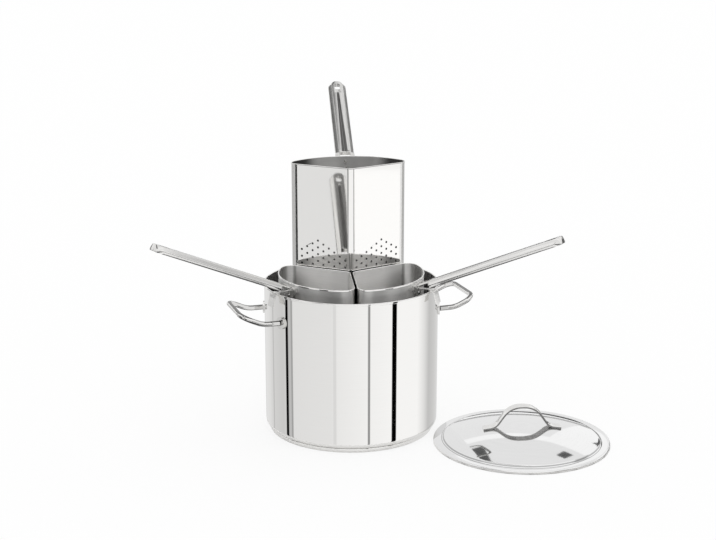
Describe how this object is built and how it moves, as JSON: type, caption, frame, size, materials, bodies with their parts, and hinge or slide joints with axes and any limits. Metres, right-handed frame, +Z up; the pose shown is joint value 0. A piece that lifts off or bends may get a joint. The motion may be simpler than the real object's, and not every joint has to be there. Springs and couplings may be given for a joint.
{
  "type": "pasta pot with strainer baskets",
  "caption": "Tall steel pasta pot with bent-rod handles, sector-shaped perforated strainer baskets on long handles that hook over its rim, and a domed lid laid beside it.",
  "frame": {"origin": "on the pot's axis, at the underside of its base, on the surface it stands on", "axes": "+Z up along the pot's axis, +X to the picture's right, -Y towards the picture's viewer"},
  "size_m": [0.6127, 0.4979, 0.4502],
  "materials": {
    "pot_steel": "mirror polished",
    "handle_steel": "polished",
    "basket_steel": "polished outside, brushed inside",
    "core_aluminium": "plain"
  },
  "bodies": {
    "pot": {"pot_shell": "pot_steel", "base_core": "core_aluminium", "base_cap": "pot_steel", "pot_handle_left": "handle_steel", "pot_handle_left_front_flange": "handle_steel", "pot_handle_left_rear_flange": "handle_steel", "pot_handle_right": "handle_steel", "pot_handle_right_front_flange": "handle_steel", "pot_handle_right_rear_flange": "handle_steel"},
    "lid": {"lid_shell": "pot_steel", "lid_handle": "handle_steel"},
    "left_basket": {"left_basket_arc_wall": "basket_steel", "left_basket_left_panel": "basket_steel", "left_basket_right_panel": "basket_steel", "left_basket_floor": "basket_steel", "left_basket_bracket": "handle_steel", "left_basket_handle": "handle_steel", "left_basket_rim_hook": "handle_steel", "left_basket_rivets": "handle_steel"},
    "right_basket": {"right_basket_arc_wall": "basket_steel", "right_basket_left_panel": "basket_steel", "right_basket_right_panel": "basket_steel", "right_basket_floor": "basket_steel", "right_basket_bracket": "handle_steel", "right_basket_handle": "handle_steel", "right_basket_rim_hook": "handle_steel", "right_basket_rivets": "handle_steel"},
    "rear_basket": {"rear_basket_arc_wall": "basket_steel", "rear_basket_left_panel": "basket_steel", "rear_basket_right_panel": "basket_steel", "rear_basket_floor": "basket_steel", "rear_basket_bracket": "handle_steel", "rear_basket_handle": "handle_steel", "rear_basket_rim_hook": "handle_steel", "rear_basket_rivets": "handle_steel"}
  },
  "joints": [
    {"name": "left_basket_lift", "type": "slide", "parent": "pot", "child": "left_basket", "axis": [0, 0, 1], "range_m": [0, 0.25]},
    {"name": "right_basket_lift", "type": "slide", "parent": "pot", "child": "right_basket", "axis": [0, 0, 1], "range_m": [0, 0.25]},
    {"name": "rear_basket_lift", "type": "slide", "parent": "pot", "child": "rear_basket", "axis": [0, 0, 1], "range_m": [-0.145, 0.1]},
    {"name": "lid_lift", "type": "slide", "parent": "pot", "child": "lid", "axis": [0, 0, 1], "range_m": [0, 0.15]}
  ]
}
